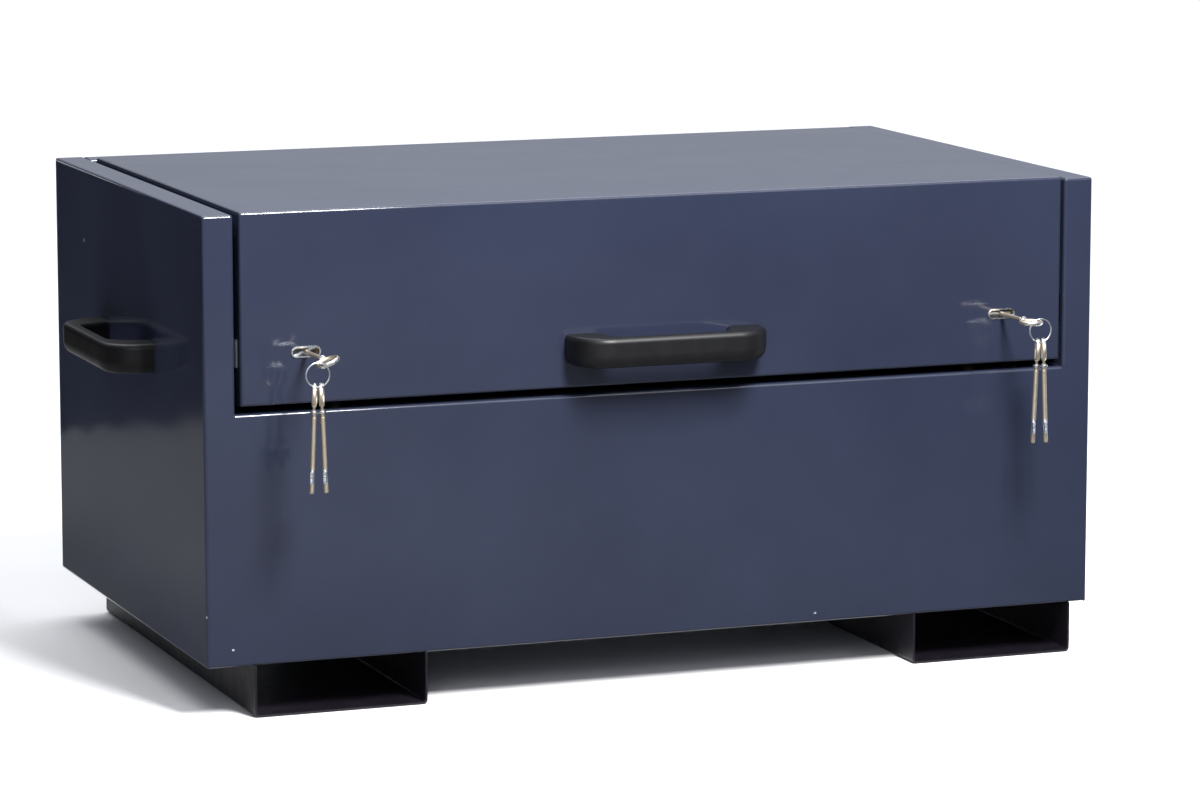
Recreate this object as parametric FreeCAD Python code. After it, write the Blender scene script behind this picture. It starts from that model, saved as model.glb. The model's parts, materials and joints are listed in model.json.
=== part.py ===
import FreeCAD, Part
import math
import os

# Site security box: welded sheet body on two fork channels, a lid that wraps over the
# top and the upper front, two keyed dead locks, bow handles and a pair of gas struts.
# Millimetres. X runs to the right, Y from the front to the back, Z up from the ground.
# The origin is the middle of the footprint of the whole object, at ground level.

# Overall sizes
body_width = 1200.0
body_depth = 700.0
body_height = 560.0
skid_height = 66.0

# Sheet work
body_sheet = 2.0
lid_sheet = 2.5
bend_radius = 4.0
flange_width = 40.0
stile_return = 28.0
top_return = 30.0
rail_width = 29.0
rail_return = 26.0
ledge_height = 314.0
ledge_lip = 16.0
toe_reach = 6.0

# Lid
lid_gap = 6.0
lid_proud = 3.0
lid_foot_gap = 10.0
lid_skirt = 22.0
lid_front_return = 30.0
hinge_slot = 14.0
lid_opening = 85.0
buffer_radius = 9.0
buffer_inset = 130.0
gutter_wall = 18.0
gutter_lip = 9.0
gutter_drop = 11.0
gutter_overlap = 6.0
stiffener_sheet = 1.5
stiffener_width = 64.0
stiffener_foot = 15.0
stiffener_drop = 18.0
front_stiffener_setback = 224.0
rear_stiffener_setback = 448.0

# Fork channels
skid_width = 225.0
skid_wall = 3.0
skid_corner = 6.0
left_skid_inset = 61.0
right_skid_inset = 24.0

# Hinges
hinge_drop = 6.0
knuckle_radius = 6.0
knuckle_sides = 16
hinge_pin_radius = 3.0
hinge_length = 110.0
hinge_inset = 160.0
leaf_sheet = 2.0
leaf_height = 28.0

# Bow handles
handle_length = 264.0
handle_reach = 60.0
handle_height = 38.0
handle_bar = 20.0
handle_leg = 46.0
handle_taper = 14.0
handle_corner = 48.0
handle_edge = 6.0
handle_throat = 8.0
lid_handle_height = 373.0
side_handle_height = 355.0
handle_screw_radius = 4.0
handle_screw_depth = 20.0
handle_screw_hole = 22.0
handle_screw_across = 7.5
handle_screw_head = 5.3
spreader_sheet = 3.0

# Locks
lock_inset = 84.0
lock_height = 388.0
case_length = 125.0
case_height = 76.0
case_sheet = 2.0
stud_radius = 3.0
stud_inset = 8.0
nut_height = 5.0
nut_across = 5.8
keyhole_width = 36.0
keyhole_height = 11.0
keyhole_rim = 1.3
rim_proud = 0.8
slot_end_sides = 8
bolt_height = 35.0
bolt_thickness = 10.0
bolt_setback = 14.0
bolt_throw = 18.0
bolt_proud = 0.5
bolt_chamfer = 1.5
bolt_tail = 3.5
bolt_lap = 6.0
stud_tip = 2.0
strike_sheet = 3.0
lever_count = 3
lever_sheet = 2.0
lever_pitch = 4.4
lever_frame = 5.0
lever_arm_reach = 7.5
lever_start = 1.0

# Keys, as stations along the key from the outer end of its bow
key_length = 136.0
key_out = 103.0
bow_radius = 13.5
rim_half_width = 1.75
rim_half_height = 2.75
neck_length = 6.25
collar_length = 3.0
collar_radius = 5.0
collar_sides = 12
bow_sides = 16
ring_sides = 24
key_shank_radius = 3.0
bit_inset = 5.0
bit_length = 14.0
bit_reach = 15.0
bit_thickness = 3.0
left_key_turn = 20.0
right_key_turn = 0.0
ring_radius = 15.0
ring_wire = 1.0
spare_spacing = 8.0
spare_fan = 2.3
spare_turn = 69.0

# Gas struts
strut_inset = 42.0
foot_forward = 60.0
foot_drop = 300.0
head_forward = 130.0
head_drop = 25.0
cylinder_radius = 9.0
cylinder_start = 18.0
cylinder_floor = 30.0
cylinder_mouth = 207.0
rod_radius = 4.0
rod_hold = 15.0
eye_radius = 8.0
eye_width = 12.0
eye_neck = 5.0
strut_pin_radius = 4.0
strut_pin_tip = 2.5
bracket_sheet = 3.0
foot_plate_width = 44.0
foot_plate_height = 60.0
foot_ear_gap = 2.0
foot_ear_top = 9.0
foot_shelf_drop = 18.0
head_plate_width = 40.0
head_plate_reach = 14.0
head_ear_gap = 11.0
head_ear_drop = 12.0

# Clearances
running_clearance = 0.05
sliding_clearance = 0.3
stop_clearance = 0.3
pivot_clearance = 0.5
spare_key_clearance = 0.9
bolt_slot_clearance = 1.0
lever_clearance = 1.2
lever_bolt_clearance = 0.5
bolt_cap_clearance = 0.5
tail_clearance = 3.0

# How far a cutting shape runs past what it cuts
overrun = 1.0

# Places worked out from the sizes
half_width = body_width / 2
front_reach = lid_proud + key_out
front_y = (front_reach - body_depth) / 2
back_y = front_y + body_depth
base_z = skid_height
top_z = base_z + body_height
ledge_z = base_z + ledge_height
inner_x = half_width - flange_width
lid_half = inner_x - lid_gap
lock_offset = lid_half - lock_inset
hinge_offset = inner_x - hinge_inset
strut_offset = inner_x - strut_inset
lid_front_y = front_y - lid_proud
lid_rear_y = back_y - rail_width - hinge_slot
lid_top_z = top_z + lid_proud
lid_foot_z = ledge_z + lid_foot_gap
lid_skin_y = lid_front_y + lid_sheet
lid_skin_z = lid_top_z - lid_sheet
hinge_y = lid_rear_y + hinge_slot / 2
hinge_z = top_z - hinge_drop
lock_z = base_z + lock_height
bow_end_y = lid_front_y - key_out
bolt_y = lid_front_y + bolt_setback
cap_y = bolt_y + bolt_thickness + bolt_cap_clearance
screw_spacing = handle_length - handle_leg
lever_window = bit_reach + lever_clearance
collar_start = 2 * bow_radius + rim_half_width + neck_length
bit_start = key_out + bit_inset
middle_y = front_y + body_depth / 2


def vector(x, y, z):
    return FreeCAD.Vector(x, y, z)


def scaled(direction, size):
    return vector(direction.x * size, direction.y * size, direction.z * size)


def block(x0, x1, y0, y1, z0, z1):
    low = vector(min(x0, x1), min(y0, y1), min(z0, z1))
    return Part.makeBox(abs(x1 - x0), abs(y1 - y0), abs(z1 - z0), low)


def rod_between(radius, start, end):
    along = end.sub(start)
    return Part.makeCylinder(radius, along.Length, start, along)


def polygon_rod(radius, start, end, sides_count=8):
    """Plain bar with flat sides, for small pieces and holes that nothing turns in."""
    along = end.sub(start)
    across = vector(1, 0, 0) if abs(along.x) < 0.5 * along.Length else vector(0, 0, 1)
    first = along.cross(across).normalize()
    second = first.cross(along).normalize()
    corners = []
    for k in range(sides_count + 1):
        angle = 2 * math.pi * (k + 0.5) / sides_count
        spoke = scaled(first, radius * math.cos(angle)).add(scaled(second, radius * math.sin(angle)))
        corners.append(start.add(spoke))
    return Part.Face(Part.makePolygon(corners)).extrude(along)


def joined(*shapes):
    return shapes[0].fuse(list(shapes[1:])).removeSplitter()


def edges_on(shape, **planes):
    """Edges that lie wholly in each of the given planes."""
    found = []
    for edge in shape.Edges:
        box = edge.BoundBox
        low = {"x": box.XMin, "y": box.YMin, "z": box.ZMin}
        high = {"x": box.XMax, "y": box.YMax, "z": box.ZMax}
        if all(abs(low[a] - v) < 0.01 and abs(high[a] - v) < 0.01 for a, v in planes.items()):
            found.append(edge)
    return found


def turned(shape, centre, axis, angle):
    copy = shape.copy()
    copy.rotate(centre, axis, angle)
    return copy


def moved(shape, x, y, z):
    copy = shape.copy()
    copy.translate(vector(x, y, z))
    return copy


def flipped(shape):
    """The same piece on the other side of the middle plane."""
    return shape.mirror(vector(0, 0, 0), vector(1, 0, 0))


def sides(shape):
    """A left-hand piece and its mirror image, by name."""
    return {"left": shape, "right": flipped(shape)}


def save(node, *solids):
    shape = solids[0] if len(solids) == 1 else Part.Compound(list(solids))
    shape.exportStep("parts/" + node + ".step")


def slot_prism(width, height, x, z, y0, y1):
    """A round-ended slot, wide along X, running from y0 to y1."""
    half = height / 2
    reach = width / 2 - half
    corners = []
    for side, start in ((1, -90), (-1, 90)):
        for k in range(slot_end_sides + 1):
            angle = math.radians(start + 180 * k / slot_end_sides)
            corners.append(vector(
                x + side * reach + half * math.cos(angle), y0, z + half * math.sin(angle),
            ))
    corners.append(corners[0])
    return Part.Face(Part.makePolygon(corners)).extrude(vector(0, y1 - y0, 0))


def hexagon(x, z, corner_radius, y, height):
    """Six-sided head or nut that stands on the plane y and grows along +Y."""
    corners = [
        vector(x + corner_radius * math.cos(a), y, z + corner_radius * math.sin(a))
        for a in [math.radians(60 * k) for k in range(7)]
    ]
    return Part.Face(Part.makePolygon(corners)).extrude(vector(0, height, 0))


def folded_strip(points, sheet, radius, x0, x1):
    """Sheet folded along a path of (y, z) points on its outer face, running from x0 to x1.

    The path turns left round the inside, so the sheet lies to the left of each run.
    """
    count = len(points)
    runs = []
    for i in range(count - 1):
        dy = points[i + 1][0] - points[i][0]
        dz = points[i + 1][1] - points[i][1]
        size = math.hypot(dy, dz)
        runs.append((dy / size, dz / size))
    inner = []
    for i in range(count):
        before = runs[max(i - 1, 0)]
        after = runs[min(i, count - 2)]
        normal_y = -(before[1] + after[1])
        normal_z = before[0] + after[0]
        scale = sheet / (1 + before[0] * after[0] + before[1] * after[1])
        inner.append((points[i][0] + normal_y * scale, points[i][1] + normal_z * scale))
    loop = points + inner[::-1] + points[:1]
    wire = Part.makePolygon([vector(x0, y, z) for y, z in loop])
    strip = Part.Face(wire).extrude(vector(x1 - x0, 0, 0))
    bends = []
    for y, z in points[1:-1]:
        bends += edges_on(strip, y=y, z=z)
    strip = strip.makeFillet(radius, bends)
    bends = []
    for y, z in inner[1:-1]:
        bends += edges_on(strip, y=y, z=z)
    return strip.makeFillet(radius - sheet, bends)


def tray_bends(shape, outer_x, inner_x, near_y, high_z):
    """Bends of a side tray: all round its face, and round its stile and top flange."""
    bends = edges_on(shape, x=outer_x)
    bends += edges_on(shape, y=near_y, z=high_z)
    bends += edges_on(shape, x=inner_x, y=near_y)
    bends += edges_on(shape, x=inner_x, z=high_z)
    return bends


def bolt_mortise(x0, x1):
    """Clearance for the left bolt in the body, from x0 to x1."""
    return block(
        x0, x1,
        bolt_y - bolt_slot_clearance, bolt_y + bolt_thickness + bolt_slot_clearance,
        lock_z - bolt_height / 2 - bolt_slot_clearance,
        lock_z + bolt_height / 2 + bolt_slot_clearance,
    )


def bolt_opening(x0, x1):
    """Closer guide for the left bolt in the lid and the lock case, from x0 to x1."""
    return block(
        x0, x1,
        bolt_y - sliding_clearance, bolt_y + bolt_thickness + sliding_clearance,
        lock_z - bolt_height / 2 - sliding_clearance,
        lock_z + bolt_height / 2 + sliding_clearance,
    )


def side_panel():
    """Left side: a tray with a stile and a top flange, both turned back inside."""
    outer = block(-half_width, -inner_x, front_y, back_y, base_z, top_z)
    outer = outer.makeFillet(bend_radius, tray_bends(outer, -half_width, -inner_x, front_y, top_z))
    left = -half_width + body_sheet
    right = -inner_x - body_sheet
    low = base_z + body_sheet
    high = top_z - body_sheet
    near = front_y + body_sheet
    far = back_y - body_sheet
    hollow = block(left, right, near, far, low, high)
    bends = edges_on(hollow, x=left) + edges_on(hollow, x=right, y=near)
    hollow = hollow.makeChamfer(bend_radius - body_sheet, bends)
    mouth = block(right - overrun, -inner_x + overrun, front_y + stile_return, far, low, top_z - top_return)
    corner = block(
        -half_width + bend_radius, -inner_x + overrun,
        front_y - overrun, front_y + flange_width, base_z - overrun, ledge_z,
    )
    panel = outer.cut([hollow, mouth, corner])
    panel = panel.cut(bolt_mortise(-inner_x - 2 * body_sheet, -inner_x + overrun))
    z = base_z + side_handle_height
    holes = [
        polygon_rod(
            handle_screw_radius + sliding_clearance,
            vector(-half_width - overrun, y, z), vector(left + overrun, y, z),
        )
        for y in (middle_y - screw_spacing / 2, middle_y + screw_spacing / 2)
    ]
    return panel.cut(holes)


def front_panel():
    """Lower front, full width, with a ledge under the lid and a short toe that meets the floor."""
    foot = (front_y + toe_reach, base_z)
    toe = (front_y, base_z)
    brow = (front_y, ledge_z)
    shelf = (front_y + flange_width, ledge_z)
    lip = (front_y + flange_width, ledge_z - ledge_lip)
    full = folded_strip([lip, shelf, brow, toe, foot], body_sheet, bend_radius, -inner_x, inner_x)
    end = half_width - bend_radius
    wings = [
        folded_strip([brow, toe, foot], body_sheet, bend_radius, x0, x1)
        for x0, x1 in ((-end, -inner_x), (inner_x, end))
    ]
    return joined(full, *wings)


def floor_panel():
    """Floor sheet from the front toe to the back foot, with ears that fill the front corners."""
    near = front_y + toe_reach
    sheet = block(-inner_x, inner_x, near, back_y - flange_width, base_z, base_z + body_sheet)
    ear_end = half_width - bend_radius
    ears = block(-ear_end, ear_end, near, front_y + flange_width, base_z, base_z + body_sheet)
    return joined(sheet, ears)


def back_panel():
    """Back sheet with the rail behind the hinge slot and a foot under the floor."""
    rail_front = back_y - rail_width
    path = [
        (back_y - flange_width, base_z),
        (back_y, base_z),
        (back_y, top_z),
        (rail_front, top_z),
        (rail_front, top_z - rail_return),
    ]
    return folded_strip(path, body_sheet, bend_radius, -inner_x, inner_x)


def gutter():
    """Channel that carries rain back from under the left edge of the lid."""
    floor_z = lid_top_z - lid_skirt - gutter_drop
    lip_x = -lid_half + lid_sheet + gutter_overlap
    near = front_y + lid_front_return + body_sheet
    far = back_y - rail_width - body_sheet
    upright = block(-inner_x, -inner_x + body_sheet, near, far, floor_z, floor_z + gutter_wall)
    bottom = block(-inner_x, lip_x, near, far, floor_z, floor_z + body_sheet)
    edge = block(lip_x - body_sheet, lip_x, near, far, floor_z, floor_z + gutter_lip)
    return joined(upright, bottom, edge)


def skid(x0):
    """Fork channel, open at the front and the back."""
    x1 = x0 + skid_width
    outer = block(x0, x1, front_y, back_y, 0, skid_height)
    bends = edges_on(outer, x=x0, z=0) + edges_on(outer, x=x1, z=0)
    outer = outer.makeFillet(skid_corner, bends)
    left = x0 + skid_wall
    right = x1 - skid_wall
    hollow = block(
        left, right, front_y - overrun, back_y + overrun, skid_wall, skid_height + overrun,
    )
    bends = edges_on(hollow, x=left, z=skid_wall) + edges_on(hollow, x=right, z=skid_wall)
    hollow = hollow.makeFillet(skid_corner - skid_wall, bends)
    return outer.cut(hollow)


def strike_plate():
    """Hardened plate behind the left stile that the bolt shoots through."""
    right = -inner_x - body_sheet
    plate = block(
        right - strike_sheet, right, front_y + bend_radius, front_y + stile_return,
        lock_z - bolt_height, lock_z + bolt_height,
    )
    return plate.cut(bolt_mortise(right - strike_sheet - overrun, right + overrun))


def lid_buffers():
    """Two rubber stops on the ledge, just under the foot of the lid."""
    height = lid_foot_gap - stop_clearance
    y = front_y + lid_front_return / 2
    return [
        polygon_rod(buffer_radius, vector(x, y, ledge_z), vector(x, y, ledge_z + height), 12)
        for x in (buffer_inset - inner_x, inner_x - buffer_inset)
    ]


def lid_panel():
    """Lid sheet: top and upper front, with a skirt all round that turns inwards."""
    top = block(-lid_half, lid_half, lid_front_y, lid_rear_y, lid_top_z - lid_skirt, lid_top_z)
    drop = block(
        -lid_half, lid_half, lid_front_y, lid_front_y + lid_front_return, lid_foot_z, lid_top_z,
    )
    outer = joined(top, drop)
    bends = edges_on(outer, y=lid_front_y)
    bends += edges_on(outer, z=lid_top_z)
    outer = outer.makeFillet(bend_radius, bends)
    hollow = block(
        -lid_half + lid_sheet, lid_half - lid_sheet,
        lid_skin_y, lid_rear_y - lid_sheet, lid_foot_z + lid_sheet, lid_skin_z,
    )
    hollow = hollow.makeChamfer(bend_radius - lid_sheet, edges_on(hollow, z=lid_skin_z))
    lid = outer.cut(hollow)
    for side in (-1, 1):
        rim_width = keyhole_width + 2 * keyhole_rim
        rim_height = keyhole_height + 2 * keyhole_rim
        keyhole = slot_prism(
            rim_width, rim_height, side * lock_offset, lock_z,
            lid_front_y - overrun, lid_skin_y + overrun,
        )
        bolt_slot = bolt_opening(side * (lid_half - lid_sheet - overrun), side * (lid_half + overrun))
        screw = polygon_rod(
            handle_screw_radius + sliding_clearance,
            vector(side * screw_spacing / 2, lid_front_y - overrun, base_z + lid_handle_height),
            vector(side * screw_spacing / 2, lid_skin_y + overrun, base_z + lid_handle_height),
        )
        lid = lid.cut([keyhole, bolt_slot, screw])
    return lid


def lid_stiffener(y):
    """Top-hat section spot-welded under the lid."""
    length = strut_offset - head_plate_reach - head_ear_gap
    half = stiffener_width / 2
    crown = half - stiffener_foot
    low = lid_skin_z - stiffener_drop
    flange = block(-length, length, y - half, y + half, lid_skin_z - stiffener_sheet, lid_skin_z)
    hat = block(-length, length, y - crown, y + crown, low, lid_skin_z)
    bends = edges_on(hat, y=y - crown, z=low) + edges_on(hat, y=y + crown, z=low)
    hat = hat.makeFillet(bend_radius, bends)
    inside = block(
        -length - overrun, length + overrun, y - crown + stiffener_sheet, y + crown - stiffener_sheet,
        low + stiffener_sheet, lid_skin_z + overrun,
    )
    return joined(flange, hat).cut(inside)


def hinge_half(x, hand, leaf_y0, leaf_y1):
    """Leaf of one hinge with its barrel; hand is -1 for the barrel on the left, 1 on the right."""
    reach = hinge_length / 2
    middle = vector(x, hinge_y, hinge_z)
    leaf = block(x - reach, x + reach, leaf_y0, leaf_y1, hinge_z - leaf_height, hinge_z)
    relief = block(
        x + hand * stop_clearance / 2, x - hand * (reach + overrun),
        hinge_y - hinge_slot, hinge_y + hinge_slot,
        hinge_z - knuckle_radius - overrun, hinge_z + knuckle_radius + overrun,
    )
    barrel = polygon_rod(
        knuckle_radius,
        middle.add(vector(hand * stop_clearance / 2, 0, 0)),
        middle.add(vector(hand * reach, 0, 0)), knuckle_sides,
    )
    bore = rod_between(
        hinge_pin_radius + running_clearance,
        middle.sub(vector(reach + overrun, 0, 0)), middle.add(vector(reach + overrun, 0, 0)),
    )
    return joined(leaf.cut(relief), barrel).cut(bore)


def hinge_body_leaf(x):
    rail_y = hinge_y + hinge_slot / 2
    return hinge_half(x, -1, rail_y - leaf_sheet, rail_y)


def hinge_lid_leaf(x):
    return hinge_half(x, 1, lid_rear_y, lid_rear_y + leaf_sheet)


def hinge_pin(x):
    half = vector(hinge_length / 2, 0, 0)
    middle = vector(x, hinge_y, hinge_z)
    return rod_between(hinge_pin_radius, middle.sub(half), middle.add(half))


def bow_handle():
    """Moulded bow handle, lying along X with its feet on the plane Y = 0."""
    half = handle_length / 2
    reach = handle_reach
    arc = handle_corner
    lean = arc * (1 - math.sqrt(0.5))
    outer = Part.Wire([
        Part.LineSegment(vector(-half, 0, 0), vector(-half, arc - reach, 0)).toShape(),
        Part.Arc(
            vector(-half, arc - reach, 0), vector(lean - half, lean - reach, 0),
            vector(arc - half, -reach, 0),
        ).toShape(),
        Part.LineSegment(vector(arc - half, -reach, 0), vector(half - arc, -reach, 0)).toShape(),
        Part.Arc(
            vector(half - arc, -reach, 0), vector(half - lean, lean - reach, 0),
            vector(half, arc - reach, 0),
        ).toShape(),
        Part.LineSegment(vector(half, arc - reach, 0), vector(half, 0, 0)).toShape(),
        Part.LineSegment(vector(half, 0, 0), vector(-half, 0, 0)).toShape(),
    ])
    solid = Part.Face(outer).extrude(vector(0, 0, handle_height))
    bends = []
    for z in (0, handle_height):
        bends += [e for e in edges_on(solid, z=z) if e.BoundBox.YMin < -0.01]
    solid = solid.makeChamfer(handle_edge, bends)
    mouth = half - handle_leg
    throat = mouth - handle_taper
    depth = reach - handle_bar
    gap = Part.Face(Part.makePolygon([
        vector(-mouth, overrun, -overrun), vector(mouth, overrun, -overrun),
        vector(mouth, 0, -overrun), vector(throat, -depth, -overrun),
        vector(-throat, -depth, -overrun), vector(-mouth, 0, -overrun),
        vector(-mouth, overrun, -overrun),
    ])).extrude(vector(0, 0, handle_height + 2 * overrun))
    corners = edges_on(gap, x=-throat, y=-depth) + edges_on(gap, x=throat, y=-depth)
    gap = gap.makeChamfer(handle_throat, corners)
    handle = solid.cut(gap)
    holes = [
        polygon_rod(
            handle_screw_radius + sliding_clearance,
            vector(x, overrun, handle_height / 2), vector(x, -handle_screw_hole, handle_height / 2),
        )
        for x in (-screw_spacing / 2, screw_spacing / 2)
    ]
    return moved(handle.cut(holes), 0, 0, -handle_height / 2)


def handle_plate():
    """Spreader plate behind the sheet, in the handle's own frame."""
    half = handle_length / 2
    tall = handle_height / 2
    plate = block(-half, half, 0, spreader_sheet, -tall, tall)
    holes = [
        polygon_rod(
            handle_screw_radius + sliding_clearance,
            vector(x, -overrun, 0), vector(x, spreader_sheet + overrun, 0),
        )
        for x in (-screw_spacing / 2, screw_spacing / 2)
    ]
    return plate.cut(holes)


def handle_screws(sheet):
    """Two hexagon screws from inside, in the handle's own frame."""
    screws = []
    grip = sheet + spreader_sheet
    for x in (-screw_spacing / 2, screw_spacing / 2):
        shank = polygon_rod(
            handle_screw_radius, vector(x, grip, 0), vector(x, -handle_screw_depth, 0),
        )
        head = hexagon(x, 0, handle_screw_across, grip, handle_screw_head)
        screws.append(joined(shank, head))
    return screws


def on_left_side(shape):
    """Takes a piece from the handle's own frame to the left side of the body."""
    swung = turned(shape, vector(0, 0, 0), vector(0, 0, 1), -90)
    return moved(swung, -half_width, middle_y, base_z + side_handle_height)


def lock_case():
    """Left lock body: an open tray with its floor against the lid."""
    left = -lid_half + lid_sheet
    right = left + case_length
    low = lock_z - case_height / 2
    high = lock_z + case_height / 2
    tray = block(left, right, lid_skin_y, cap_y, low, high)
    inside = block(
        left + case_sheet, right - case_sheet, lid_skin_y + case_sheet, cap_y + overrun,
        low + case_sheet, high - case_sheet,
    )
    tray = tray.cut(inside)
    holes = [
        polygon_rod(
            stud_radius + sliding_clearance,
            vector(x, lid_skin_y - overrun, z), vector(x, lid_skin_y + case_sheet + overrun, z),
        )
        for x, z in stud_places()
    ]
    keyhole = block(
        -lock_offset - keyhole_width / 2, -lock_offset + keyhole_width / 2,
        lid_skin_y - overrun, lid_skin_y + case_sheet + overrun,
        lock_z - keyhole_height / 2, lock_z + keyhole_height / 2,
    )
    return tray.cut(holes + [keyhole, bolt_opening(left - overrun, left + case_sheet + overrun)])


def stud_places():
    """Centres of the two studs of the left lock: low at the bolt end, high at the far end."""
    left = -lid_half + lid_sheet + stud_inset
    right = left + case_length - 2 * stud_inset
    rise = case_height / 2 - stud_inset
    return [(left, lock_z - rise), (right, lock_z + rise)]


def lock_cap():
    """Back cover of the left lock, with the hole that the tip of the key turns in."""
    left = -lid_half + lid_sheet
    cap = block(
        left, left + case_length, cap_y, cap_y + case_sheet,
        lock_z - case_height / 2, lock_z + case_height / 2,
    )
    holes = [
        polygon_rod(
            stud_radius + sliding_clearance,
            vector(x, cap_y - overrun, z), vector(x, cap_y + case_sheet + overrun, z),
        )
        for x, z in stud_places()
    ]
    pilot = rod_between(
        key_shank_radius + running_clearance,
        vector(-lock_offset, cap_y - overrun, lock_z),
        vector(-lock_offset, cap_y + case_sheet + overrun, lock_z),
    )
    return cap.cut(holes + [pilot])


def escutcheon():
    """Bright lining of the left keyhole, a little proud of the lid."""
    outside = slot_prism(
        keyhole_width + 2 * keyhole_rim, keyhole_height + 2 * keyhole_rim,
        -lock_offset, lock_z, lid_front_y - rim_proud, lid_skin_y,
    )
    inside = slot_prism(
        keyhole_width, keyhole_height, -lock_offset, lock_z,
        lid_front_y - rim_proud - overrun, lid_skin_y + overrun,
    )
    return outside.cut(inside)


def lock_fixings():
    """Studs welded behind the lid, with their nuts, that carry the left lock."""
    fixings = []
    back = cap_y + case_sheet
    for x, z in stud_places():
        stud = polygon_rod(
            stud_radius, vector(x, lid_skin_y, z), vector(x, back + nut_height + stud_tip, z),
        )
        fixings.append(joined(stud, hexagon(x, z, nut_across, back, nut_height)))
    return fixings


def lock_levers():
    """Lever plates that swing on one stud of the left lock, round the path of the key bits."""
    levers = []
    pivot_x, pivot_z = stud_places()[1]
    for k in range(lever_count):
        y0 = lid_skin_y + case_sheet + lever_start + k * lever_pitch
        y1 = y0 + lever_sheet
        plate = block(
            -lock_offset - lever_window - lever_frame, pivot_x + lever_frame, y0, y1,
            lock_z - lever_window - lever_frame, lock_z + lever_window + lever_frame,
        )
        arm = block(
            pivot_x - lever_arm_reach, pivot_x + lever_frame, y0, y1,
            lock_z + lever_window, pivot_z + lever_frame,
        )
        eye = block(
            -lock_offset - lever_window, -lock_offset + lever_window, y0 - overrun, y1 + overrun,
            lock_z - lever_window, lock_z + lever_window,
        )
        gate = block(
            -lock_offset + lever_window + lever_frame, pivot_x - lever_frame, y0 - overrun, y1 + overrun,
            lock_z - lever_frame, lock_z + lever_frame,
        )
        pivot = polygon_rod(
            stud_radius + sliding_clearance,
            vector(pivot_x, y0 - overrun, pivot_z), vector(pivot_x, y1 + overrun, pivot_z),
        )
        levers.append(joined(plate, arm).cut([eye, gate, pivot]))
    return levers


def dead_bolt(turn):
    """Left bolt: a thick head with a thin tail behind the levers, moved out by the key."""
    out = bolt_throw * turn / 180
    end = -lid_half - bolt_proud
    head_inner = -lock_offset - lever_window - lever_frame - lever_bolt_clearance
    head = block(
        end, head_inner, bolt_y, bolt_y + bolt_thickness,
        lock_z - bolt_height / 2, lock_z + bolt_height / 2,
    )
    head = head.makeChamfer(bolt_chamfer, edges_on(head, x=end))
    rise = stud_places()[1][1] - lock_z - stud_radius - sliding_clearance
    tail_far = -lid_half + lid_sheet + case_length - case_sheet - tail_clearance
    tail_y = bolt_y + bolt_thickness - bolt_tail
    tail = block(
        head_inner - bolt_lap, tail_far, tail_y, tail_y + bolt_tail,
        lock_z - rise, lock_z + rise,
    )
    window_height = 2 * (key_shank_radius + bolt_slot_clearance)
    window = slot_prism(
        bolt_throw + window_height, window_height, -lock_offset + bolt_throw / 2, lock_z,
        tail_y - overrun, tail_y + bolt_tail + overrun,
    )
    return moved(joined(head, tail).cut(window), -out, 0, 0)


def faceted_ring(centre_y, ring, section, sides_count):
    """Ring about Z made of straight lengths, its centre on the line x = 0.

    The section is a list of (outward, up) points about the ring's own centre line.
    """
    centre = vector(0, centre_y, 0)
    loops = []
    for k in range(sides_count + 1):
        angle = 2 * math.pi * k / sides_count
        corners = [
            centre.add(vector((ring + a) * math.cos(angle), (ring + a) * math.sin(angle), b))
            for a, b in section + section[:1]
        ]
        loops.append(corners)
    faces = []
    for near, far in zip(loops[:-1], loops[1:-1] + loops[:1]):
        for i in range(len(section)):
            outline = [near[i], far[i], far[i + 1], near[i + 1], near[i]]
            faces.append(Part.Face(Part.makePolygon(outline)))
    return Part.Solid(Part.Shell(faces))


def flat_key():
    """Double-bitted key: bow end at Y = 0, tip towards +Y, lying flat in the plane Z = 0."""
    centre_y = bow_radius + rim_half_width
    half = rim_half_height / 2
    bow = faceted_ring(centre_y, bow_radius, [
        (-rim_half_width, -half), (0, -rim_half_height), (rim_half_width, -half),
        (rim_half_width, half), (0, rim_half_height), (-rim_half_width, half),
    ], bow_sides)
    neck_y = centre_y + bow_radius
    neck = Part.Face(Part.makePolygon([
        vector(-collar_radius, neck_y, -half),
        vector(collar_radius, neck_y, -half),
        vector(key_shank_radius, collar_start, -half),
        vector(-key_shank_radius, collar_start, -half),
        vector(-collar_radius, neck_y, -half),
    ])).extrude(vector(0, 0, rim_half_height))
    collar = polygon_rod(
        collar_radius, vector(0, collar_start, 0), vector(0, collar_start + collar_length, 0),
        collar_sides,
    )
    shank = polygon_rod(
        key_shank_radius, vector(0, collar_start, 0), vector(0, key_length, 0),
    )
    steps = [1.0, 0.7, 0.86, 0.66, 1.0]
    run = bit_length / len(steps)
    corners = [(0, bit_start)]
    for k, share in enumerate(steps):
        corners.append((bit_reach * share, bit_start + k * run))
        corners.append((bit_reach * share, bit_start + (k + 1) * run))
    corners.append((0, bit_start + bit_length))
    corners += [(-x, y) for x, y in corners[-2:0:-1]]
    corners.append(corners[0])
    bits = Part.Face(Part.makePolygon([
        vector(x, y, -bit_thickness / 2) for x, y in corners
    ])).extrude(vector(0, 0, bit_thickness))
    return joined(bow, neck, collar, shank, bits)


def inserted_key(side, turn):
    """Key in its lock, turned from level towards locked."""
    key = moved(flat_key(), side * lock_offset, bow_end_y, lock_z)
    return turned(key, vector(side * lock_offset, 0, lock_z), vector(0, side, 0), turn)


def ring_pivot(side, turn):
    """Middle of the rim of the bow, on its outer side, where the ring hangs."""
    angle = math.radians(turn)
    return vector(
        side * (lock_offset + bow_radius * math.cos(angle)),
        bow_end_y + bow_radius + rim_half_width,
        lock_z - bow_radius * math.sin(angle),
    )


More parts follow.
